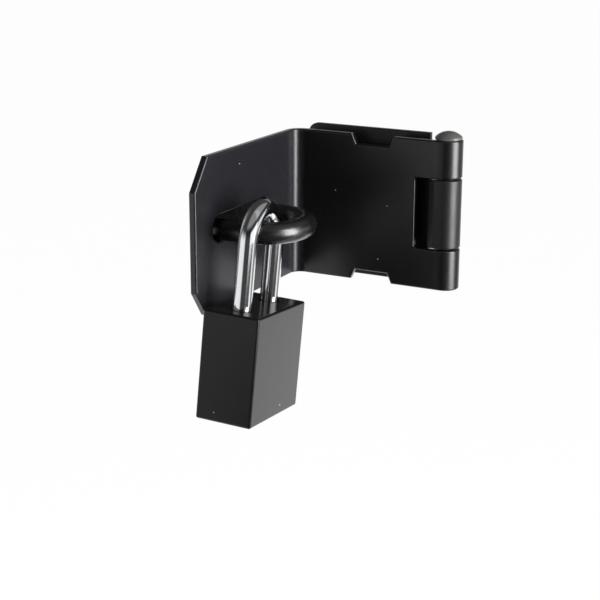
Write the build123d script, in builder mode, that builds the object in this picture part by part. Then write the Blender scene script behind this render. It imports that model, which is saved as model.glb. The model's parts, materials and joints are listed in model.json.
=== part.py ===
"""Right-angle hasp with a rolled hinge, its ring staple, and the padlock that locks the two together.

Millimetres, +Z up. The origin is the centre of the fixed leaf's bolt pattern on its back face, +X runs
along the leaf towards the hinge and +Y points into the wall behind it.
"""
import os
from math import cos, radians, sin, sqrt

from build123d import *

# Sheet of the two leaves
plate = 3.0
edge_round = 0.7
hasp_flat_count = 4
fixed_flat_count = 2
near = 0.01
hasp_height = 64.0
hasp_drop = 0.7

# Hasp leaf: its length runs from the flange to the hinge axis, the flange's reach from the leaf's front face
leaf_length = 68.4
flange_reach = 84.0
bend_radius = 4.5
upper_chamfer_run = 9.8
upper_chamfer_drop = 13.0
lower_chamfer_run = 7.4
lower_chamfer_rise = 10.4
notch_from_flange = 36.3
notch_mouth = 19.4
notch_floor = 15.4
notch_depth = 4.4
slot_length = 47.6
slot_height = 11.2
slot_from_leaf = 47.1
slot_rise = 1.4

# Hinge: both leaves are turned round the pin and their ends run back along the sheet
pin_radius = 3.1
pin_clearance = 0.05
roll_end = 6.4
roll_end_round = 1.0
tongue_height = 29.4
knuckle_end_play = 0.6
window_reach = 12.2
window_corner = 1.5
pin_head_radius = 5.7
pin_head_rim = 1.1
pin_head_edge = 0.35
pin_head_dome = 2.4
peened_radius = 4.3
peened_height = 1.2

# Fixed leaf: lengths from the hinge axis
fixed_height = 65.4
fixed_length = 67.3
fixed_relief = 9.7
fixed_corner = 4.5
fixed_bolt_radius = 3.25
fixed_bolt_spacing_x = 36.0
fixed_bolt_spacing_z = 40.0

# Staple: a bent round bar in a plate behind the flange, lying on the floor of the flange's slot
staple_bar = 9.0
staple_width = 34.0
staple_reach = 31.2
staple_shift = 0.8
staple_rest = 0.1
staple_fit = 0.05
staple_plate_thickness = 4.0
staple_plate_length = 47.0
staple_plate_height = 36.0
staple_plate_corner = 5.0
staple_plate_gap = 0.1
staple_bolt_radius = 2.75
staple_bolt_head_radius = 5.2
staple_bolt_spacing_y = 34.0
staple_bolt_spacing_z = 24.0

# Padlock body and how it hangs: the place of the bar inside the shackle's arch, and the body's three turns
lock_width = 44.0
lock_thickness = 24.4
lock_height = 44.8
lock_edge = 0.9
lock_from_flange = 16.0
lock_swing_angle = -5.8
lock_lean_angle = 2.5
lock_turn_angle = 93.1
hang_angle = 45.0
hang_gap = 0.5

# Shackle
shackle_bar = 7.8
shackle_spacing = 24.8
shackle_rise = 27.1
shackle_fit = 0.15
shackle_lift = 11.0
toe_depth = 9.8
heel_depth = 24.0
hole_chamfer = 0.5
toe_bevel = 1.2
toe_floor_gap = 1.0
neck_radius = 2.6

# Locking balls and the cam between them
ball_radius = 3.0
ball_level = 6.2
ball_bite = 1.9
ball_fit = 0.1
cam_ball_gap = 0.25
cam_half_width = 1.3
cam_over_ball = 3.0
cam_disc_rim = 0.25
cam_disc_thickness = 2.0
cam_fit = 0.2

# Key cylinder
cylinder_fit = 0.05
plug_radius = 5.5
plug_fit = 0.06
plug_recess = 0.4
shell_radius = 7.2
bible_reach = 17.2
bible_width = 6.4
keyway_width = 2.4
keyway_length = 8.6
keyway_ward = 0.8
keyway_offset = 0.9
pin_count = 5
pin_pitch = 4.0
first_pin_height = 4.8
last_pin_room = 5.2
tumbler_radius = 1.4
tumbler_fit = 0.08
tumbler_end = 0.3
tumbler_point = 0.7
shear_gap = 0.12
driver_length = 3.6
key_pin_lengths = (3.0, 2.4, 3.4, 2.7, 3.1)
chamber_cap_thickness = 1.2
tumbler_wire = 0.36
tumbler_spring_turns = 3
screw_radius = 2.0
screw_fit = 0.05
screw_bite = 2.6
screw_slot_width = 0.8
screw_slot_depth = 1.0

# Springs, and the shackle spring under the heel
wire_sides = 6
spring_length = 9.0
spring_radius = 2.8
spring_wire = 0.9
spring_turns = 4
spring_gap = 0.1

# Places worked out from the sizes above
bore_radius = pin_radius + pin_clearance
knuckle_radius = bore_radius + plate
hinge_x = (fixed_length + fixed_relief) / 2
hasp_z = -hasp_drop
hasp_top = hasp_z + hasp_height / 2
hasp_bottom = hasp_z - hasp_height / 2
hinge_y = -knuckle_radius
front_y = -2 * knuckle_radius
back_y = front_y + plate
flange_x = hinge_x - leaf_length
flange_end_y = front_y - flange_reach
slot_y = front_y - slot_from_leaf
slot_z = hasp_z + slot_rise
window_height = tongue_height + 2 * knuckle_end_play
ring_y = slot_y + staple_shift
ring_z = slot_z - slot_height / 2 + staple_bar / 2 + staple_rest
ring_radius = staple_width / 2
ring_straight_x = flange_x + staple_reach - ring_radius - staple_bar / 2
staple_plate_x = flange_x - plate - staple_plate_gap

# The padlock's own planes: the top face, and the upright plane of the shackle
bar_x = flange_x + lock_from_flange
bar_past_straight = max(bar_x - ring_straight_x, 0)
bar_y = ring_y - sqrt(ring_radius**2 - bar_past_straight**2)
hang_radius = (shackle_spacing - shackle_bar - staple_bar) / 2 - hang_gap
bar_across = -hang_radius * sin(radians(hang_angle))
bar_above = shackle_rise + hang_radius * cos(radians(hang_angle))
lock_turned = Plane(Location((bar_x, bar_y, ring_z), (lock_swing_angle, lock_lean_angle, lock_turn_angle)))
lock_plane = Plane(
    origin=lock_turned.origin - lock_turned.x_dir * bar_across - lock_turned.z_dir * bar_above,
    x_dir=lock_turned.x_dir,
    z_dir=lock_turned.z_dir,
)
lock_upright = Plane(origin=lock_plane.origin, x_dir=lock_plane.x_dir, z_dir=-lock_plane.y_dir)
lock_axis = Axis(lock_plane.origin, lock_plane.z_dir)

leg_x = shackle_spacing / 2
leg_radius = shackle_bar / 2
leg_hole_radius = leg_radius + shackle_fit
ball_x = leg_x - leg_radius + ball_bite - ball_radius
cam_half_length = ball_x - ball_radius - cam_ball_gap
cam_disc_radius = cam_half_length + cam_disc_rim
cylinder_length = first_pin_height + pin_pitch * (pin_count - 1) + last_pin_room
cylinder_top = cylinder_length - lock_height
cam_bore_radius = cam_disc_radius + cam_fit
cam_top = cam_over_ball - ball_level
cam_bore_top = cam_top + cam_fit
heel_floor = -heel_depth - spring_length
toe_floor = -toe_depth - toe_floor_gap
chamber_radius = tumbler_radius + tumbler_fit
shear_radius = plug_radius + plug_fit
chamber_end = bible_reach - chamber_cap_thickness
pin_levels = [-lock_height + first_pin_height + pin_pitch * i for i in range(pin_count)]


def rolled_end(side):
    """Lines of a sheet's turned end: side is +1 where the sheet runs behind the pin, -1 in front of it."""
    outer_y = hinge_y - side * knuckle_radius
    inner_y = hinge_y - side * bore_radius
    end_x = hinge_x - roll_end
    CenterArc((hinge_x, hinge_y), knuckle_radius, side * 90, -side * 180)
    Polyline((hinge_x, outer_y), (end_x, outer_y), (end_x, inner_y), (hinge_x, inner_y))
    CenterArc((hinge_x, hinge_y), bore_radius, side * 90, -side * 180)


def sheet_rims(sheet, flat_count, *open_ends):
    """Rims of a sheet's flat faces, without the upright seams between two skins."""
    flats = sheet.faces().filter_by(GeomType.PLANE).sort_by(SortBy.AREA)[-flat_count:]
    rims = flats.edges()
    upright = rims.filter_by(Axis.Z)
    ends = [upright.filter_by_position(axis, place - near, place + near) for axis, place in open_ends]
    return rims.filter_by(Axis.Z, reverse=True) + [edge for end in ends for edge in end]


# Hasp leaf: one sheet, bent at a right angle, rolled at the hinge end
with BuildPart() as hasp_leaf:
    with BuildSketch(Plane.XY.offset(hasp_z)):
        with BuildLine():
            corner = (flange_x + bend_radius, front_y - bend_radius)
            Line((flange_x, flange_end_y), (flange_x, corner[1]))
            CenterArc(corner, bend_radius, 180, -90)
            Line((corner[0], front_y), (hinge_x, front_y))
            rolled_end(-1)
            Line((hinge_x, back_y), (corner[0], back_y))
            CenterArc(corner, bend_radius + plate, 90, 90)
            outer_x = flange_x - plate
            Polyline((outer_x, corner[1]), (outer_x, flange_end_y), (flange_x, flange_end_y))
        make_face()
    extrude(amount=hasp_height / 2, both=True)
    # Window that the fixed leaf's tongue stands and turns in
    with BuildSketch(Plane.XZ.offset(-hinge_y)):
        with Locations((hinge_x, 0)):
            RectangleRounded(2 * window_reach, window_height, window_corner)
    extrude(amount=2 * knuckle_radius, both=True, mode=Mode.SUBTRACT)
    # Shallow notches in the upper and lower edges of the leaf
    with BuildSketch(Plane.XZ.offset(-front_y)):
        centre_x = flange_x + notch_from_flange
        for edge_z, depth in ((hasp_top, -notch_depth), (hasp_bottom, notch_depth)):
            with BuildLine():
                Polyline(
                    (centre_x - notch_mouth / 2, edge_z),
                    (centre_x - notch_floor / 2, edge_z + depth),
                    (centre_x + notch_floor / 2, edge_z + depth),
                    (centre_x + notch_mouth / 2, edge_z),
                    close=True,
                )
            make_face()
    extrude(amount=-plate, mode=Mode.SUBTRACT)
    # Cut corners of the flange and the slot for the staple
    with BuildSketch(Plane.YZ.offset(flange_x)):
        for run, rise, edge_z in (
            (upper_chamfer_run, -upper_chamfer_drop, hasp_top),
            (lower_chamfer_run, lower_chamfer_rise, hasp_bottom),
        ):
            with BuildLine():
                Polyline(
                    (flange_end_y, edge_z),
                    (flange_end_y + run, edge_z),
                    (flange_end_y, edge_z + rise),
                    close=True,
                )
            make_face()
        with Locations((slot_y, slot_z)):
            SlotOverall(slot_length, slot_height)
    extrude(amount=-plate, mode=Mode.SUBTRACT)
    hasp_ends = ((Axis.Y, flange_end_y), (Axis.X, hinge_x - window_reach))
    fillet(sheet_rims(hasp_leaf, hasp_flat_count, *hasp_ends), edge_round)
hasp_leaf.part.label = "hasp_leaf"

# Fixed leaf: a plate with a rolled tongue that fills the window
with BuildPart() as fixed_leaf:
    with BuildSketch():
        with BuildLine():
            free_x = hinge_x - fixed_length
            Polyline((hinge_x, -plate), (free_x, -plate), (free_x, 0), (hinge_x, 0))
            rolled_end(1)
        make_face()
    extrude(amount=fixed_height / 2, both=True)
    with BuildSketch(Plane.XZ.offset(-hinge_y)):
        beside_height = (fixed_height - tongue_height) / 2
        with Locations((hinge_x, 0)):
            with GridLocations(0, fixed_height - beside_height, 1, 2):
                Rectangle(2 * fixed_relief, beside_height)
    extrude(amount=2 * knuckle_radius, both=True, mode=Mode.SUBTRACT)
    fillet(fixed_leaf.edges().filter_by(Axis.Y).group_by(Axis.X)[0], fixed_corner)
    upright = fixed_leaf.edges().filter_by(Axis.Z)
    tongue_front = upright.filter_by_position(Axis.Y, front_y - near, front_y + near)
    fillet(tongue_front.sort_by(Axis.X)[0], roll_end_round)
    fixed_ends = ((Axis.X, free_x), (Axis.X, hinge_x - fixed_relief))
    fillet(sheet_rims(fixed_leaf, fixed_flat_count, *fixed_ends), edge_round)
    with BuildSketch(Plane.XZ):
        with GridLocations(fixed_bolt_spacing_x, fixed_bolt_spacing_z, 2, 2):
            Circle(fixed_bolt_radius)
    extrude(amount=plate, mode=Mode.SUBTRACT)
fixed_leaf.part.label = "fixed_leaf"

# Hinge pin: a shaft with a domed head above and a peened end below
with BuildPart() as hinge_pin:
    with BuildSketch(Plane.XZ.offset(-hinge_y)):
        with BuildLine():
            head_rim = (hinge_x + pin_head_radius, hasp_top + pin_head_rim)
            dome_top = (hinge_x, hasp_top + pin_head_rim + pin_head_dome)
            peened_foot = (hinge_x, hasp_bottom - peened_height)
            peened_rim = (hinge_x + peened_radius, hasp_bottom)
            dome_radius = (pin_head_radius**2 + pin_head_dome**2) / (2 * pin_head_dome)
            peened_curve = (peened_radius**2 + peened_height**2) / (2 * peened_height)
            Polyline(
                peened_rim,
                (hinge_x + pin_radius, hasp_bottom),
                (hinge_x + pin_radius, hasp_top),
                (hinge_x + pin_head_radius, hasp_top),
                head_rim,
            )
            RadiusArc(head_rim, dome_top, -dome_radius)
            Line(dome_top, peened_foot)
            RadiusArc(peened_foot, peened_rim, -peened_curve)
        make_face()
    revolve(axis=Axis((hinge_x, hinge_y, 0), (0, 0, 1)))
    rim_face = hinge_pin.faces().filter_by(GeomType.CYLINDER).sort_by(Axis.Z)[-1]
    fillet(rim_face.edges().filter_by(GeomType.CIRCLE), pin_head_edge)
hinge_pin.part.label = "hinge_pin"

# Staple: a round bar bent to a U, its ends welded into the plate
with BuildPart() as staple_ring:
    with BuildLine(Plane.XY.offset(ring_z)) as bar_path:
        back_x = staple_plate_x - staple_plate_thickness
        Line((back_x, ring_y - ring_radius), (ring_straight_x, ring_y - ring_radius))
        CenterArc((ring_straight_x, ring_y), ring_radius, -90, 180)
        Line((ring_straight_x, ring_y + ring_radius), (back_x, ring_y + ring_radius))
    with BuildSketch(Plane(origin=bar_path.line @ 0, z_dir=bar_path.line % 0)):
        Circle(staple_bar / 2)
    sweep(path=bar_path.line)
staple_ring.part.label = "staple_ring"

with BuildPart() as staple_plate:
    with BuildSketch(Plane.YZ.offset(staple_plate_x)):
        with Locations((ring_y, ring_z)):
            RectangleRounded(staple_plate_length, staple_plate_height, staple_plate_corner)
            with GridLocations(staple_width, 0, 2, 1):
                Circle(staple_bar / 2 + staple_fit, mode=Mode.SUBTRACT)
    extrude(amount=-staple_plate_thickness)
    with Locations(Plane.YZ.offset(staple_plate_x)):
        with Locations((ring_y, ring_z)):
            with GridLocations(staple_bolt_spacing_y, staple_bolt_spacing_z, 2, 2):
                CounterSinkHole(staple_bolt_radius, staple_bolt_head_radius, staple_plate_thickness)
staple_plate.part.label = "staple_plate"


def lock_level(height):
    """Level plane of the padlock, measured up from its top face."""
    return lock_plane.offset(height)


# Padlock body: a milled block with the shackle's holes, the cylinder's pocket and the ball gallery
with BuildPart(lock_plane) as padlock_body:
    with BuildSketch(lock_plane):
        Rectangle(lock_width, lock_thickness)
    extrude(amount=-lock_height)
    fillet(padlock_body.edges(), lock_edge)
    with BuildSketch(lock_plane):
        with Locations((-leg_x, 0)):
            Circle(leg_hole_radius)
    extrude(amount=toe_floor, mode=Mode.SUBTRACT)
    with BuildSketch(lock_plane):
        with Locations((leg_x, 0)):
            Circle(leg_hole_radius)
    extrude(amount=heel_floor, mode=Mode.SUBTRACT)
    top_face = padlock_body.faces().sort_by(lock_axis)[-1]
    chamfer(top_face.edges().filter_by(GeomType.CIRCLE), hole_chamfer)
    with BuildSketch(lock_level(cylinder_top)):
        Circle(cam_bore_radius)
    extrude(amount=cam_bore_top - cylinder_top, mode=Mode.SUBTRACT)
    with BuildSketch(lock_level(cylinder_top + cylinder_fit)):
        Circle(shell_radius + cylinder_fit)
        with Locations((-(bible_reach + cylinder_fit) / 2, 0)):
            Rectangle(bible_reach + cylinder_fit, bible_width + 2 * cylinder_fit)
    extrude(amount=-cylinder_length - cylinder_fit, mode=Mode.SUBTRACT)
    with Locations((0, 0, -ball_level)):
        Cylinder(ball_radius + ball_fit, shackle_spacing, rotation=(0, 90, 0), mode=Mode.SUBTRACT)
    with BuildSketch(lock_level(toe_floor)):
        with Locations((-leg_x, 0)):
            Circle(screw_radius + screw_fit)
    extrude(amount=cylinder_top - toe_floor, mode=Mode.SUBTRACT)
padlock_body.part.label = "padlock_body"

# Shackle: a bent bar with a bite for a ball in each leg and a turned neck near the heel's end
with BuildPart(lock_plane) as shackle:
    with BuildLine(lock_upright) as shackle_path:
        Line((-leg_x, -toe_depth), (-leg_x, shackle_rise))
        CenterArc((0, shackle_rise), leg_x, 180, -180)
        Line((leg_x, shackle_rise), (leg_x, -heel_depth))
    with BuildSketch(Plane(origin=shackle_path.line @ 0, z_dir=shackle_path.line % 0)):
        Circle(leg_radius)
    sweep(path=shackle_path.line)
    leg_ends = shackle.edges().filter_by(GeomType.CIRCLE).sort_by(lock_axis)
    chamfer(leg_ends[:2], toe_bevel)
    with Locations((-ball_x, 0, -ball_level), (ball_x, 0, -ball_level)):
        Sphere(ball_radius + ball_fit, mode=Mode.SUBTRACT)
    with BuildSketch(lock_level(-ball_level - shackle_lift)):
        with Locations((leg_x, 0)):
            Circle(leg_radius + shackle_fit)
            Circle(neck_radius, mode=Mode.SUBTRACT)
    extrude(amount=ball_radius + ball_fit, both=True, mode=Mode.SUBTRACT)
shackle.part.label = "shackle"

# Locking balls
with BuildPart(lock_plane) as front_ball:
    with Locations((-ball_x, 0, -ball_level)):
        Sphere(ball_radius)
front_ball.part.label = "locking_ball_front"

with BuildPart(lock_plane) as rear_ball:
    with Locations((ball_x, 0, -ball_level)):
        Sphere(ball_radius)
rear_ball.part.label = "locking_ball_rear"

# Cam: a disc on the plug with a flat-sided stem that holds the balls apart until it is turned
with BuildPart(lock_plane) as lock_cam:
    with BuildSketch(lock_level(cylinder_top)):
        Circle(cam_disc_radius)
    extrude(amount=cam_disc_thickness)
    with BuildSketch(lock_level(cylinder_top + cam_disc_thickness)):
        SlotOverall(2 * cam_half_length, 2 * cam_half_width)
    extrude(amount=cam_top - cylinder_top - cam_disc_thickness)
lock_cam.part.label = "lock_cam"


def chambers(inner, outer):
    """Row of round chambers from one distance of the plug's axis to another."""
    with Locations(*((-inner, 0, level) for level in pin_levels)):
        Cylinder(
            chamber_radius,
            outer - inner,
            rotation=(0, -90, 0),
            align=(Align.CENTER, Align.CENTER, Align.MIN),
            mode=Mode.SUBTRACT,
        )


# Cylinder shell: a round barrel for the plug and a straight block for the pins
with BuildPart(lock_plane) as cylinder_shell:
    with BuildSketch(lock_level(cylinder_top)):
        Circle(shell_radius)
        with Locations((-chamber_end / 2, 0)):
            Rectangle(chamber_end, bible_width)
        Circle(shear_radius, mode=Mode.SUBTRACT)
    extrude(amount=-cylinder_length)
    chambers(plug_radius - tumbler_radius, chamber_end)
    with BuildSketch(lock_level(cylinder_top)):
        with Locations((-leg_x, 0)):
            Circle(screw_radius + screw_fit)
    extrude(amount=-screw_bite, mode=Mode.SUBTRACT)
cylinder_shell.part.label = "cylinder_shell"

# Plug: turns in the shell, with a warded keyway open to the padlock's underside
with BuildPart(lock_plane) as cylinder_plug:
    with BuildSketch(lock_level(cylinder_top)):
        Circle(plug_radius)
        with Locations((keyway_offset, 0)):
            Rectangle(keyway_length, keyway_width, mode=Mode.SUBTRACT)
        wards = (keyway_ward, keyway_width / 2), (-keyway_ward, -keyway_width / 2)
        with Locations(*((keyway_offset + x, y) for x, y in wards)):
            Rectangle(2 * keyway_ward, 2 * keyway_ward)
    extrude(amount=plug_recess - cylinder_length)
    chambers(keyway_length / 2 - keyway_offset - tumbler_radius, plug_radius + plug_fit)
cylinder_plug.part.label = "cylinder_plug"


def tumbler(level, near, length, point):
    """One pin of the lock, with a rounded end at its near side."""
    with BuildPart(lock_plane) as tumbler_pin:
        with Locations((-near, 0, level)):
            Cylinder(
                tumbler_radius,
                length,
                rotation=(0, -90, 0),
                align=(Align.CENTER, Align.CENTER, Align.MIN),
            )
        ends = tumbler_pin.edges().filter_by(GeomType.CIRCLE).sort_by(Axis((0, 0, 0), lock_plane.x_dir))
        chamfer(ends[-1], point)
        chamfer(ends[0], tumbler_end)
    return tumbler_pin.part


def coil(low, direction, radius, wire, length, turns):
    """A helical spring of round wire that starts at a point and runs along a direction."""
    rise = length - wire
    with BuildPart() as spring:
        with BuildLine() as turn_path:
            Helix(rise / turns, rise, radius, center=low + direction * (wire / 2), direction=direction)
        with BuildSketch(Plane(origin=turn_path.line @ 0, z_dir=turn_path.line % 0)):
            RegularPolygon(wire / 2, wire_sides)
        sweep(path=turn_path.line, is_frenet=True)
    return spring.part


# Tumblers: pointed key pins in the plug, drivers in the shell, springs and the cap that closes their row
plug_pin_end = plug_radius - shear_gap
key_pins = []
driver_pins = []
pin_springs = []
for number, (level, length) in enumerate(zip(pin_levels, key_pin_lengths), start=1):
    key_pin = tumbler(level, plug_pin_end - tumbler_end - length, length, tumbler_point)
    key_pin.label = f"key_pin_{number}"
    key_pins.append(key_pin)
    driver = tumbler(level, shear_radius + shear_gap, driver_length, tumbler_end)
    driver.label = f"driver_pin_{number}"
    driver_pins.append(driver)
    seat = shear_radius + shear_gap + driver_length
    start = lock_plane.from_local_coords(Vector(-seat, 0, level))
    pin_springs.append(
        coil(
            start,
            -lock_plane.x_dir,
            tumbler_radius - tumbler_wire,
            tumbler_wire,
            chamber_end - seat,
            tumbler_spring_turns,
        )
    )
pin_spring_group = Compound(label="pin_springs", children=pin_springs)

with BuildPart(lock_plane) as chamber_cap:
    with BuildSketch(lock_level(cylinder_top)):
        with Locations((-chamber_end - chamber_cap_thickness / 2, 0)):
            Rectangle(chamber_cap_thickness, bible_width)
    extrude(amount=-cylinder_length)
chamber_cap.part.label = "chamber_cap"

# Screw that holds the cylinder, reached through the toe's hole when the shackle is open
with BuildPart(lock_plane) as cylinder_screw:
    with BuildSketch(lock_level(toe_floor)):
        with Locations((-leg_x, 0)):
            Circle(screw_radius)
    extrude(amount=cylinder_top - screw_bite + cylinder_fit - toe_floor)
    with BuildSketch(lock_level(toe_floor)):
        with Locations((-leg_x, 0)):
            Rectangle(2 * screw_radius, screw_slot_width)
    extrude(amount=-screw_slot_depth, mode=Mode.SUBTRACT)
cylinder_screw.part.label = "cylinder_screw"

# Spring that pushes the shackle up from the floor of the heel's hole
heel_floor_centre = lock_plane.from_local_coords(Vector(leg_x, 0, heel_floor + spring_gap))
shackle_spring = coil(
    heel_floor_centre,
    lock_plane.z_dir,
    spring_radius,
    spring_wire,
    spring_length - 2 * spring_gap,
    spring_turns,
)
shackle_spring.label = "shackle_spring"

os.makedirs("parts", exist_ok=True)
pieces = [
    hasp_leaf.part,
    fixed_leaf.part,
    hinge_pin.part,
    staple_ring.part,
    staple_plate.part,
    padlock_body.part,
    shackle.part,
    front_ball.part,
    rear_ball.part,
    lock_cam.part,
    cylinder_shell.part,
    cylinder_plug.part,
    *key_pins,
    *driver_pins,
    pin_spring_group,
    chamber_cap.part,
    cylinder_screw.part,
    shackle_spring,
]
for piece in pieces:
    export_step(piece, f"parts/{piece.label}.step")
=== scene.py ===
# %% [markdown]
# # A padlock hasp, dressed around its solids
# The object is a right-angle hasp of black-coated sheet, a round-bar staple that comes through the slot
# of its flange, and a padlock that hangs in the staple's ring. The solids already have the right shapes,
# so this script gives them their finishes, draws the polished shackle again with a finer mesh, and sets
# the light and the camera. First the solids are loaded as a fixed frame, in metres.

# %% Load the frame
import json
import math

import bmesh
import bpy
from mathutils import Matrix, Vector


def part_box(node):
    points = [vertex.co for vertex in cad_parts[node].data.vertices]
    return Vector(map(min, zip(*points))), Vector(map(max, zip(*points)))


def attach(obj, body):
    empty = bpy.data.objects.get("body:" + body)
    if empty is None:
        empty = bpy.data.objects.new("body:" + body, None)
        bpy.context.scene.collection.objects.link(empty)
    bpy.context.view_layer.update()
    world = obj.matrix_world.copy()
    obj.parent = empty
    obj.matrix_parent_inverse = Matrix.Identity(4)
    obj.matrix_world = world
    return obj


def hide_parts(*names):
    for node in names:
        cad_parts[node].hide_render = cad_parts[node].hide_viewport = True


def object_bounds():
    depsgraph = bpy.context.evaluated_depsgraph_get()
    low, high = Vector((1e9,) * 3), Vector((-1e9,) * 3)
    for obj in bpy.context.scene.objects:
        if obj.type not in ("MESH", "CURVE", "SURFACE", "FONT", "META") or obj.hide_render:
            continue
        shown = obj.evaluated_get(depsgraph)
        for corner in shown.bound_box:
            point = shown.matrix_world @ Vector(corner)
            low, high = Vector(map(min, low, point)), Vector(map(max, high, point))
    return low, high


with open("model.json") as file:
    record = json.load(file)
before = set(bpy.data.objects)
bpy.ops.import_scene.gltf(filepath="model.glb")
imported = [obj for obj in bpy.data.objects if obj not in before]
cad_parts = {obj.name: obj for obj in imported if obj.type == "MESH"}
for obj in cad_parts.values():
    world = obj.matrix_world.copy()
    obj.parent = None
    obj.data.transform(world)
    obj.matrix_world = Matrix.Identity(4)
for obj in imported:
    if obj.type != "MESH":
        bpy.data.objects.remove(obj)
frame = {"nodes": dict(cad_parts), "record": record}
cad_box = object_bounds()
nodes = frame["nodes"]
print("solids loaded:", len(nodes))

# %% [markdown]
# ## Writing a shader as arithmetic
# A finish is a small sum of textures. Wiring that by hand takes many lines, so a wrapped socket stands
# for a number on the surface: adding, multiplying or comparing two of them adds the Math node that does
# it. Every other node, such as a noise or a bump, comes from one method.


# %% A socket that can be calculated with
class Grade:
    """A number or colour that varies over a surface."""

    def __init__(self, tree, socket):
        self.tree = tree
        self.socket = socket

    def node(self, kind, settings=None, sockets=None, out=0):
        """Adds a node of any kind: its settings first, then the values or links of its sockets."""
        made = self.tree.nodes.new(kind)
        for key, value in (settings or {}).items():
            setattr(made, key, value)
        for key, value in (sockets or {}).items():
            if isinstance(value, Grade):
                self.tree.links.new(value.socket, made.inputs[key])
            else:
                made.inputs[key].default_value = value
        return Grade(self.tree, made.outputs[out])

    def maths(self, operation, first, second):
        return self.node("ShaderNodeMath", {"operation": operation}, {0: first, 1: second})

    def __add__(self, other):
        return self.maths("ADD", self, other)

    __radd__ = __add__

    def __sub__(self, other):
        return self.maths("SUBTRACT", self, other)

    def __rsub__(self, other):
        return self.maths("SUBTRACT", other, self)

    def __mul__(self, other):
        return self.maths("MULTIPLY", self, other)

    __rmul__ = __mul__

    def __lt__(self, other):
        return self.maths("LESS_THAN", self, other)

    def __gt__(self, other):
        return self.maths("GREATER_THAN", self, other)


print("sockets can be added, multiplied and compared")

# %% [markdown]
# ## Helpers for a finish
# Every finish on this object is one Principled shader. What stays the same all over is set on its sockets
# as a constant, and only what varies is linked. The helpers below name the few nodes that the finishes
# share: a noise of a given size, a bump, a blend of two colours and a smooth step.


# %% Finish helpers
def new_finish(name, **constants):
    """A material with one Principled shader; returns it, the shader node and the object coordinates."""
    material = bpy.data.materials.new(name)
    material.use_nodes = True
    tree = material.node_tree
    tree.nodes.clear()
    place = Grade(tree, tree.nodes.new("ShaderNodeTexCoord").outputs["Object"])
    shader = place.node("ShaderNodeBsdfPrincipled", None, constants).socket.node
    output = tree.nodes.new("ShaderNodeOutputMaterial")
    tree.links.new(shader.outputs[0], output.inputs["Surface"])
    return material, shader, place


def feed(shader, **links):
    """Joins varying values to the named sockets of a shader."""
    for name, grade in links.items():
        grade.tree.links.new(grade.socket, shader.inputs[name.replace("_", " ")])


def noise(place, size, detail=2.0, roughness=0.5):
    """Soft noise whose blots are about a given size in metres."""
    sockets = {"Vector": place, "Scale": 1.0 / size, "Detail": detail, "Roughness": roughness}
    return place.node("ShaderNodeTexNoise", None, sockets)


def bump(height, distance):
    """Tilts the shading as a relief would; the height times the distance is in metres."""
    return height.node("ShaderNodeBump", None, {"Height": height, "Distance": distance})


def as_colour(colour):
    return colour if isinstance(colour, Grade) else (*colour, 1.0)


def blend_colours(mask, low, high):
    """One colour where the mask is 0, another where it is 1; either may be a Grade."""
    sockets = {0: mask, 6: as_colour(low), 7: as_colour(high)}
    return mask.node("ShaderNodeMix", {"data_type": "RGBA"}, sockets, out=2)


def fade(value, start, stop):
    """A smooth step: 0 where the value is at start, 1 where it is at stop."""
    sockets = {"Value": value, "From Min": start, "From Max": stop}
    return value.node("ShaderNodeMapRange", {"interpolation_type": "SMOOTHSTEP"}, sockets)


print("finish helpers ready")

# %% [markdown]
# ## Black powder coat
# The leaves, the pin, the staple and the padlock's body are coated in satin black. Close up a coat is
# never flat: the melted powder leaves a fine skin of soft bumps, its tone and gloss drift a little, and
# single pale dust grains lie on it. An image of a coat would repeat, so the skin is a bump from two sizes
# of noise, and the grains are the middles of a few Voronoi cells. How much a coat mirrors at all is one
# constant, its gloss.
#
# Two things in the function only shade the coat as the picture shows it. A swell is a broad smooth step in
# the bump, which turns the light on the sheets beside and across the knuckles. The other is painted light:
# the flange's face gets a lighter, bluer colour than the leaf for the light that falls on it from the right,
# though the real sheet has one coat. Neither of them changes a shape.

# %% What the coats have in common
drift_size = 0.030
skin_size, fine_skin_size = 0.0011, 0.0004
gloss_size, gloss_drift = 0.004, 0.10
dust_cells, dust_reach, dust_threshold = 200.0, 0.05, 0.75
dust_colour, dust_roughness = (0.62, 0.62, 0.60), 0.2
# how far the painted light on the flange takes to fade in from its face, in metres
painted_light_fade = 0.004


def powder_coat(name, dark, light, roughness, gloss=0.5, depth=0.000018, swells=(), flange=None):
    """A satin coat; swells are (start, stop, rise) along X, and flange is the X of its face and its painted
    light colour.
    """
    material, shader, place = new_finish(name, **{"IOR": 1.5, "Specular IOR Level": gloss})
    across = place.node("ShaderNodeSeparateXYZ", None, {0: place}, out="X")
    drift = noise(place, drift_size, 3.0)
    skin = noise(place, skin_size, 2.0) + 0.5 * noise(place, fine_skin_size, 1.0)
    cells = {"Vector": place, "Scale": dust_cells}
    grain = place.node("ShaderNodeTexVoronoi", None, cells, out="Distance")
    lottery = place.node("ShaderNodeTexVoronoi", None, cells, out="Color")
    chosen = lottery.node("ShaderNodeSeparateColor", None, {0: lottery})
    dust = (grain < dust_reach) * (chosen > dust_threshold)
    coat = blend_colours(drift, dark, light)
    height = depth * skin
    for start, stop, rise in swells:
        height = height + rise * fade(across, start, stop)
    # painted light: from the flange's face on, the coat's colour is swapped for a lighter one, for the light
    # that falls on the flange
    if flange:
        face, flange_painted_light = flange
        coat = blend_colours(fade(across, face, face + painted_light_fade), flange_painted_light, coat)
    uneven = roughness - 0.5 * gloss_drift + gloss_drift * noise(place, gloss_size, 2.0)
    feed(
        shader,
        Base_Color=blend_colours(dust, coat, dust_colour),
        Roughness=uneven + dust_roughness * dust,
        Normal=bump(height, 1.0),
    )
    return material


print("dust on about one cell in", round(1.0 / (1.0 - dust_threshold)))
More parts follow.
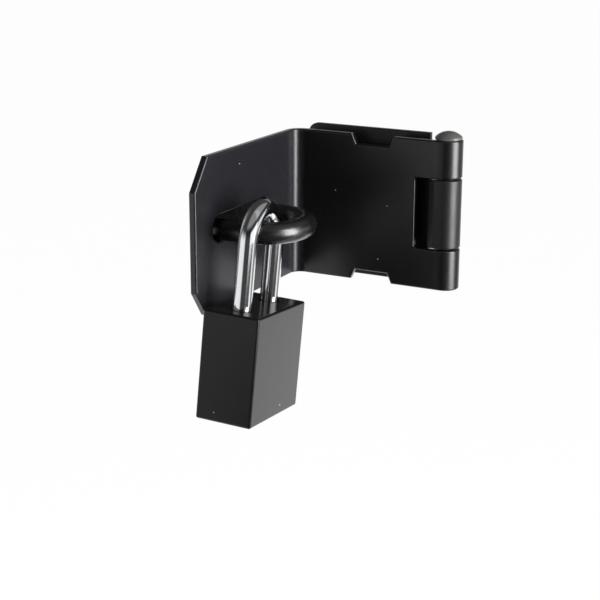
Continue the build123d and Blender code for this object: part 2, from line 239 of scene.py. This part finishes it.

# %% [markdown]
# ### Coats of the hinge
# The hasp is one sheet, with its flange at the left and two knuckles at the right. The middle knuckle is
# the tongue of the fixed leaf, and the pin's domed head is greyer than the sheet. The swells are placed
# from the pin's axis and the painted light on the flange from the flange's face, both measured on the
# solids.

# %% Coats of the leaves and the pin
sheet_thickness = 0.003
pin_low, pin_high = (Vector(corner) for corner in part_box("hinge_pin"))
axis_x = (pin_low.x + pin_high.x) / 2.0
flange_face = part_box("hasp_leaf")[0][0] + sheet_thickness


def beside_pin(swells):
    """Moves swells that are given from the pin's axis to their place along X."""
    return [(axis_x + start, axis_x + stop, rise) for start, stop, rise in swells]


leaf_coat = powder_coat(
    "leaf_coat",
    dark=(0.0032, 0.0032, 0.0033),
    light=(0.0042, 0.0042, 0.0043),
    roughness=0.30,
    swells=beside_pin([(-0.0055, -0.0020, 0.00010), (-0.0025, 0.0055, -0.00075)]),
    # painted light: a lighter, bluer colour on the flange's face for the light from the right; the real
    # sheet has one coat
    flange=(flange_face, (0.0102, 0.0099, 0.0126)),
)
tongue_coat = powder_coat(
    "tongue_coat",
    dark=(0.006, 0.006, 0.006),
    light=(0.008, 0.008, 0.008),
    roughness=0.38,
    gloss=0.42,
    swells=beside_pin([(-0.0064, -0.0034, 0.0016), (-0.0030, 0.0075, -0.00100)]),
)
pin_coat = powder_coat("pin_coat", dark=(0.072, 0.072, 0.067), light=(0.090, 0.090, 0.084), roughness=0.36)
print("pin's axis at", round(axis_x, 4), "and flange's face at", round(flange_face, 4))

# %% [markdown]
# ### Coats of the staple and the padlock
# The staple's bar has the brightest highlight, so its coat has more gloss. The padlock's body is smoother
# and flatter than powder on sheet: its roughness is lower, and so are its gloss and the depth of its
# skin.

# %% Coats of the staple and the padlock
staple_coat = powder_coat(
    "staple_coat",
    dark=(0.003, 0.003, 0.0033),
    light=(0.005, 0.005, 0.0054),
    roughness=0.28,
    gloss=0.70,
)
body_coat = powder_coat(
    "body_coat",
    dark=(0.0060, 0.0060, 0.0062),
    light=(0.0080, 0.0080, 0.0082),
    roughness=0.17,
    gloss=0.27,
    depth=0.000006,
)
print("coats:", [coat.name for coat in (leaf_coat, tongue_coat, pin_coat, staple_coat, body_coat)])

# %% [markdown]
# ## Chrome, brass and steel
# The shackle is polished chrome: nearly a mirror, with fine marks that only show as a slightly uneven
# gloss. The lock's insides are turned brass and bright steel, which are rougher, and the brass is warmer.
# One function makes all three, because they differ only in colour, roughness and the size of their marks.

# %% Bare metals
tone_size = 0.012


def bare_metal(name, dark, light, roughness, uneven, mark_size, depth):
    """A metal whose tone drifts, with marks that vary its roughness and its bump."""
    material, shader, place = new_finish(name, **{"Metallic": 1.0})
    tone = noise(place, tone_size, 3.0)
    marks = noise(place, mark_size, 4.0, 0.6)
    feed(
        shader,
        Base_Color=blend_colours(tone, dark, light),
        Roughness=roughness - 0.5 * uneven + uneven * marks,
        Normal=bump(marks, depth),
    )
    return material


chrome = bare_metal("chrome", (0.74, 0.75, 0.77), (0.82, 0.83, 0.84), 0.13, 0.05, 0.0012, 1e-7)
brass = bare_metal("brass", (0.66, 0.48, 0.20), (0.78, 0.60, 0.28), 0.30, 0.12, 0.0006, 3e-6)
steel = bare_metal("steel", (0.52, 0.52, 0.54), (0.66, 0.66, 0.68), 0.28, 0.12, 0.0006, 3e-6)
print("metals:", [metal.name for metal in (chrome, brass, steel)])

# %% [markdown]
# ## A finish for every solid
# The pieces that show are named one by one. The pins of the lock are brass, and what is left inside it,
# the springs, the balls, the cam and the screw, is steel. A solid keeps its mesh, and only its material
# is changed.

# %% Give every solid its finish
finishes = {
    "hasp_leaf": leaf_coat,
    "fixed_leaf": tongue_coat,
    "hinge_pin": pin_coat,
    "staple_ring": staple_coat,
    "staple_plate": staple_coat,
    "padlock_body": body_coat,
    "shackle": chrome,
    "cylinder_shell": brass,
    "cylinder_plug": brass,
    "chamber_cap": brass,
}
for name, solid in nodes.items():
    is_lock_pin = "pin_" in name and "spring" not in name
    material = finishes.get(name, brass if is_lock_pin else steel)
    if not solid.material_slots:
        solid.data.materials.append(material)
    for slot in solid.material_slots:
        slot.material = material
print("finishes given to", len(nodes), "solids")

# %% [markdown]
# ## The shackle
# Polished chrome shows every facet, so the shackle is drawn again with a finer mesh in the same form: a
# round bar bent to a U, with a bevelled toe and heel, a turned neck near the heel's end and a hollow for
# a ball in each leg. A curve with a bevel would give the bar too, but not the neck and the bevels. So a
# circle is extruded along the toe, spun through the arch and extruded down the heel, growing and
# shrinking on the way, and two balls are then cut away. It is drawn in the padlock's own axes and moved
# into place at the end.

# %% The padlock's own axes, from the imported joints
joints = {joint["name"]: joint for joint in frame["record"]["behaviour"]["joints"]}
lock_up = Vector(joints["plug_turn"]["axis"]).normalized()
lock_along = Vector(joints["front_ball_slide"]["axis"]).normalized()
lock_across = lock_up.cross(lock_along)
lock_turn = Matrix((lock_along, lock_across, lock_up)).transposed().to_4x4()
lock_place = Matrix.Translation(joints["plug_turn"]["pos_m"]) @ lock_turn
print("padlock's top face at", [round(c, 4) for c in lock_place.translation])

# %% A bar that grows and shrinks as it is extruded
bar_radius = 0.0039
leg_offset = 0.0124
arch_height = 0.0271
toe_end, heel_end, end_bevel = -0.0098, -0.0240, 0.0012
neck_top, neck_foot, neck_radius = -0.0141, -0.0203, 0.0026
round_steps, arch_steps = 72, 60
merge_distance = 1e-6


def extrude_leg(mesh, rim, steps, x):
    """Carries a rim through levels along a leg at x; each step is a level and the bar's radius there."""
    for level, radius in steps:
        made = bmesh.ops.extrude_edge_only(mesh, edges=rim)["geom"]
        ring = [item for item in made if isinstance(item, bmesh.types.BMVert)]
        rim = [item for item in made if isinstance(item, bmesh.types.BMEdge)]
        old = (ring[0].co - Vector((x, 0.0, ring[0].co.z))).length
        for vert in ring:
            vert.co = Vector((x, 0.0, level)) + (vert.co - Vector((x, 0.0, vert.co.z))) * (radius / old)
    return rim


mesh = bmesh.new()
bmesh.ops.create_circle(
    mesh,
    segments=round_steps,
    radius=bar_radius - end_bevel,
    matrix=Matrix.Translation((-leg_offset, 0.0, toe_end)),
    cap_ends=False,
)
toe = [(toe_end + end_bevel, bar_radius), (arch_height, bar_radius)]
rim = extrude_leg(mesh, mesh.edges[:], toe, -leg_offset)
arch = bmesh.ops.spin(
    mesh,
    geom=rim + list({vert for edge in rim for vert in edge.verts}),
    cent=(0.0, 0.0, arch_height),
    axis=(0.0, 1.0, 0.0),
    angle=math.pi,
    steps=arch_steps,
)
rim = [item for item in arch["geom_last"] if isinstance(item, bmesh.types.BMEdge)]
heel = [
    (neck_top, bar_radius),
    (neck_top, neck_radius),
    (neck_foot, neck_radius),
    (neck_foot, bar_radius),
    (heel_end + end_bevel, bar_radius),
    (heel_end, bar_radius - end_bevel),
]
extrude_leg(mesh, rim, heel, leg_offset)
bmesh.ops.holes_fill(mesh, edges=mesh.edges)
bmesh.ops.remove_doubles(mesh, verts=mesh.verts, dist=merge_distance)
bmesh.ops.recalc_face_normals(mesh, faces=mesh.faces)
bmesh.ops.transform(mesh, matrix=lock_place, verts=mesh.verts)
bar_mesh = bpy.data.meshes.new("shackle_bar")
mesh.to_mesh(bar_mesh)
mesh.free()
print("bent bar:", len(bar_mesh.polygons), "faces")

# %% [markdown]
# ### Hollows for the balls
# When the lock is shut, a ball sits in a hollow on the inner side of each leg. Pushing vertices in would
# leave a ragged rim, so a ball is cut away from each leg with a Boolean. The cut bar becomes a new mesh,
# and the cutters are deleted. It is shaded smooth, apart from the rims and the steps of the neck.

# %% Cut the hollows and finish the shackle
bite_radius, bite_offset, bite_level = 0.0031, 0.0074, -0.0062
bite_segments, bite_rings = 32, 24
crease_angle = math.radians(35.0)


def ball(x, z, radius):
    """A round cutter in the padlock's axes."""
    mesh = bmesh.new()
    bmesh.ops.create_uvsphere(mesh, u_segments=bite_segments, v_segments=bite_rings, radius=radius)
    bmesh.ops.transform(mesh, matrix=lock_place @ Matrix.Translation((x, 0.0, z)), verts=mesh.verts)
    cutter = bpy.data.objects.new("bite", bpy.data.meshes.new("bite"))
    mesh.to_mesh(cutter.data)
    mesh.free()
    bpy.context.scene.collection.objects.link(cutter)
    return cutter


bar = bpy.data.objects.new("bar", bar_mesh)
bpy.context.scene.collection.objects.link(bar)
cutters = [ball(side * bite_offset, bite_level, bite_radius) for side in (-1.0, 1.0)]
for cutter in cutters:
    cut = bar.modifiers.new("bite", "BOOLEAN")
    cut.object = cutter
    cut.operation = "DIFFERENCE"
    cut.solver = "EXACT"
bitten = bpy.data.meshes.new_from_object(bar.evaluated_get(bpy.context.evaluated_depsgraph_get()))
for helper in (bar, *cutters):
    bpy.data.objects.remove(helper)
bitten.name = "polished_shackle"
bitten.shade_smooth()
bitten.set_sharp_from_angle(angle=crease_angle)
bitten.materials.clear()
bitten.materials.append(chrome)
polished_shackle = bpy.data.objects.new("polished_shackle", bitten)
bpy.context.scene.collection.objects.link(polished_shackle)
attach(polished_shackle, "padlock")
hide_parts("shackle")
print("shackle:", len(bitten.polygons), "faces")

# %% [markdown]
# ## Floor and surroundings
# The picture shows the object before plain white, held well clear of anything. A wide pale floor lies
# some way below, and the world is white too. To the camera both are plain white, and to the rest they
# give a softer fill. A real studio is not white all round, though: the side where the photographer stands
# is dark, and so is most of the ceiling, and they draw the black stripes in the chrome and on the
# knuckles. Cards around the object could do that, but they would also shade it. So the brightness of the
# world and the floor depends on the direction, in soft patches that only reflections see.

# %% Directions around the object
middle = Vector((0.0, -0.045, -0.02))


def towards(azimuth, elevation):
    """The unit vector to a place around the object; azimuth 0 is before it and 90 to its right."""
    a, e = math.radians(azimuth), math.radians(elevation)
    return Vector((math.sin(a) * math.cos(e), -math.cos(a) * math.cos(e), math.sin(e)))


def vector_maths(operation, *vectors, out=0):
    """A Vector Math node on one or two vectors, of which the first is a Grade."""
    return vectors[0].node("ShaderNodeVectorMath", {"operation": operation}, dict(enumerate(vectors)), out)


def sector(direction, azimuth, inner, outer):
    """1 near an azimuth, fading to 0 between two angles to its sides."""
    flat = vector_maths("MULTIPLY", direction, (1.0, 1.0, 0.0))
    level = vector_maths("NORMALIZE", flat)
    nearness = vector_maths("DOT_PRODUCT", level, towards(azimuth, 0.0), out="Value")
    return fade(nearness, math.cos(math.radians(outer)), math.cos(math.radians(inner)))


def beyond(direction, start, stop):
    """0 at one elevation, fading to 1 at another."""
    height = direction.node("ShaderNodeSeparateXYZ", None, {0: direction}, out="Z")
    return fade(height, math.sin(math.radians(start)), math.sin(math.radians(stop)))


print("the object's middle is at", tuple(middle))

# %% [markdown]
# ### The studio as a reflection shows it
# White is 1. The ceiling is dark, with a paler part high at the front right and another high at the
# right. The floor below the object is brighter, as it would be under close lamps. Dark patches stand for
# the photographer at the front right, for the floor straight in front, for the wall at the right and for
# the floor before that wall. Each is a sector of azimuths times a band of elevations, in degrees.


# %% Brightness by direction
def room(direction):
    """Brightness of the studio in a direction."""
    ceiling = 0.95 * beyond(direction, 4.0, 30.0)
    high_front = 0.22 * sector(direction, 55.0, 45.0, 75.0) * beyond(direction, 32.0, 42.0)
    high_right = 0.26 * sector(direction, 130.0, 30.0, 45.0) * beyond(direction, 26.0, 34.0)
    photographer = 0.94 * sector(direction, 47.0, 42.0, 54.0) * beyond(direction, 34.0, 24.0)
    low_front = 0.97 * sector(direction, 0.0, 18.0, 25.0) * beyond(direction, -7.0, -11.0)
    near_floor = 0.50 * beyond(direction, -14.0, -22.0)
    right_wall = (
        0.85
        * sector(direction, 130.0, 36.0, 50.0)
        * beyond(direction, 3.0, 14.0)
        * beyond(direction, 34.0, 26.0)
    )
    low_right = 0.75 * sector(direction, 132.0, 12.0, 22.0) * beyond(direction, -3.0, -9.0)
    bright = 1.0 + near_floor + high_front + high_right - ceiling
    return bright * (1.0 - photographer) * (1.0 - low_front) * (1.0 - right_wall) * (1.0 - low_right)


def shader_tree(owner, output):
    """Empties a node tree; returns it, its new output's input, and masks of camera and mirrored rays."""
    owner.use_nodes = True
    tree = owner.node_tree
    tree.nodes.clear()
    rays = tree.nodes.new("ShaderNodeLightPath").outputs
    seen = Grade(tree, rays["Is Camera Ray"])
    mirrored = Grade(tree, rays["Is Glossy Ray"]) + Grade(tree, rays["Is Transmission Ray"])
    return tree, tree.nodes.new(output).inputs["Surface"], seen, mirrored


white = (1.0, 1.0, 1.0, 1.0)
print("the studio's white is", white[:3])

# %% [markdown]
# ### Floor
# The floor is a single large square, far enough below to take no sharp shadow. Its material is plain
# matte paper for the light that bounces, and a white glow for the camera and for reflections. A little of
# the matte paper is left in what the camera sees, so that the object's soft shadow stays.

# %% Floor
floor_drop, floor_size = 0.25, 6.0
paper_colour = (0.8, 0.8, 0.8, 1.0)
paper_glow, glow_share = 1.02, 0.96
floor_level = cad_box[0][2] - floor_drop
paper = bmesh.new()
bmesh.ops.create_grid(paper, x_segments=1, y_segments=1, size=floor_size)
bmesh.ops.translate(paper, verts=paper.verts, vec=(0.0, 0.0, floor_level))
floor_mesh = bpy.data.meshes.new("floor")
paper.to_mesh(floor_mesh)
paper.free()
floor = bpy.data.objects.new("floor", floor_mesh)
bpy.context.scene.collection.objects.link(floor)
floor_finish = bpy.data.materials.new("pale_floor")
tree, surface, seen, mirrored = shader_tree(floor_finish, "ShaderNodeOutputMaterial")
spot = seen.node("ShaderNodeTexCoord", out="Object")
away = vector_maths("NORMALIZE", vector_maths("SUBTRACT", spot, middle))
matte = seen.node("ShaderNodeBsdfDiffuse", None, {"Color": paper_colour})
brightness = paper_glow * seen + mirrored * room(away)
glow = seen.node("ShaderNodeEmission", None, {"Color": white, "Strength": brightness})
mixed = seen.node("ShaderNodeMixShader", None, {0: glow_share * seen + mirrored, 1: matte, 2: glow})
tree.links.new(mixed.socket, surface)
floor_mesh.materials.append(floor_finish)
print("floor at", round(floor_level, 3), "m")

# %% [markdown]
# ### World
# The world is white to the camera, has the studio's patches in reflections, and gives everything else a
# weak even fill, so that the lamps keep their shadows.

# %% World
fill = 0.10
world = bpy.data.worlds.new("studio")
bpy.context.scene.world = world
tree, surface, seen, mirrored = shader_tree(world, "ShaderNodeOutputWorld")
direction = seen.node("ShaderNodeTexCoord", out="Generated")
strength = seen + mirrored * room(direction) + (1.0 - seen - mirrored) * fill
backdrop = seen.node("ShaderNodeBackground", None, {"Color": white, "Strength": strength})
tree.links.new(backdrop.socket, surface)
print("world ready, with a fill of", fill)

# %% [markdown]
# ## Lamps
# One tall soft lamp at the right draws the upright streaks on the knuckles and the bend. It is far
# brighter than paper, so that a black coat still mirrors it well, and it lights the faces to the right
# strongly. In the chrome it would burn out, so it is flagged off the shackle, and a wide, weaker strip
# lamp shows there instead. A lamp overhead lights the upper edges and the head of the pin, and one at the
# left opens the front faces. Those two don't show in reflections.


# %% Lamps
def soft_lamp(name, azimuth, elevation, distance, width, height, glow, mirrored=True):
    """A rectangular lamp that looks at the object; its glow is its brightness beside white paper."""
    away = towards(azimuth, elevation)
    lamp = bpy.data.lights.new(name, "AREA")
    lamp.shape = "RECTANGLE"
    lamp.size, lamp.size_y = width, height
    lamp.energy = glow * math.pi * width * height
    stand = bpy.data.objects.new(name, lamp)
    stand.location = middle + away * distance
    stand.rotation_euler = away.to_track_quat("Z", "Y").to_euler()
    stand.visible_glossy = mirrored
    bpy.context.scene.collection.objects.link(stand)
    return stand


def flag(lamp, things):
    """Keeps a lamp's light off some objects, as a flag on a stand would."""
    shaded = bpy.data.collections.new(lamp.name + "_flag")
    for thing in things:
        shaded.objects.link(thing)
    lamp.light_linking.receiver_collection = shaded
    for item in shaded.collection_objects:
        item.light_linking.link_state = "EXCLUDE"


right_lamp = soft_lamp("right_lamp", 87.0, 10.0, 0.6, 0.31, 0.62, 14.5)
flag(right_lamp, [polished_shackle])
soft_lamp("strip_lamp", 80.0, 5.2, 1.1, 1.10, 0.60, 1.1)
soft_lamp("top_lamp", -10.0, 62.0, 1.1, 0.8, 0.8, 1.5, mirrored=False)
soft_lamp("left_lamp", -60.0, 18.0, 1.2, 0.7, 0.9, 1.3, mirrored=False)

# %% [markdown]
# ## Camera
# The camera stands to the right of the front and a little above, with a long lens. Its place is given
# from the corner where the flange's inner face and the leaf's front face would meet, so it follows the
# solids. Its three directions are worked out from the azimuth, the elevation and a slight roll.

# %% Camera
flange_reach = 0.084
view_azimuth, view_elevation, view_roll = 27.48, 16.50, math.radians(-0.18)
camera_offset = Vector((0.283795, -0.541562, 0.135538))
leaf_low, leaf_high = (Vector(corner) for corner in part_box("hasp_leaf"))
bend_corner = leaf_low + Vector((sheet_thickness, flange_reach, (leaf_high.z - leaf_low.z) / 2.0))
forward = -towards(view_azimuth, view_elevation)
level = towards(view_azimuth + 90.0, 0.0)
down = forward.cross(level)
right = level * math.cos(view_roll) + down * math.sin(view_roll)
up = level * math.sin(view_roll) - down * math.cos(view_roll)
lens = bpy.data.cameras.new("camera")
lens.sensor_width = 36.0
lens.lens = 85.3
lens.clip_start = 0.01
camera = bpy.data.objects.new("camera", lens)
turn = Matrix((right, up, -forward)).transposed().to_4x4()
camera.matrix_world = Matrix.Translation(bend_corner + camera_offset) @ turn
bpy.context.scene.collection.objects.link(camera)
bpy.context.scene.camera = camera
bpy.context.scene.view_settings.view_transform = "Standard"
print("camera", [round(c, 4) for c in camera.location])

# %% [markdown]
# ## Sizes
# Last, the box of the solids is printed.

# %% Sizes and finish
print("box of the solids:", [[round(c, 4) for c in corner] for corner in cad_box])
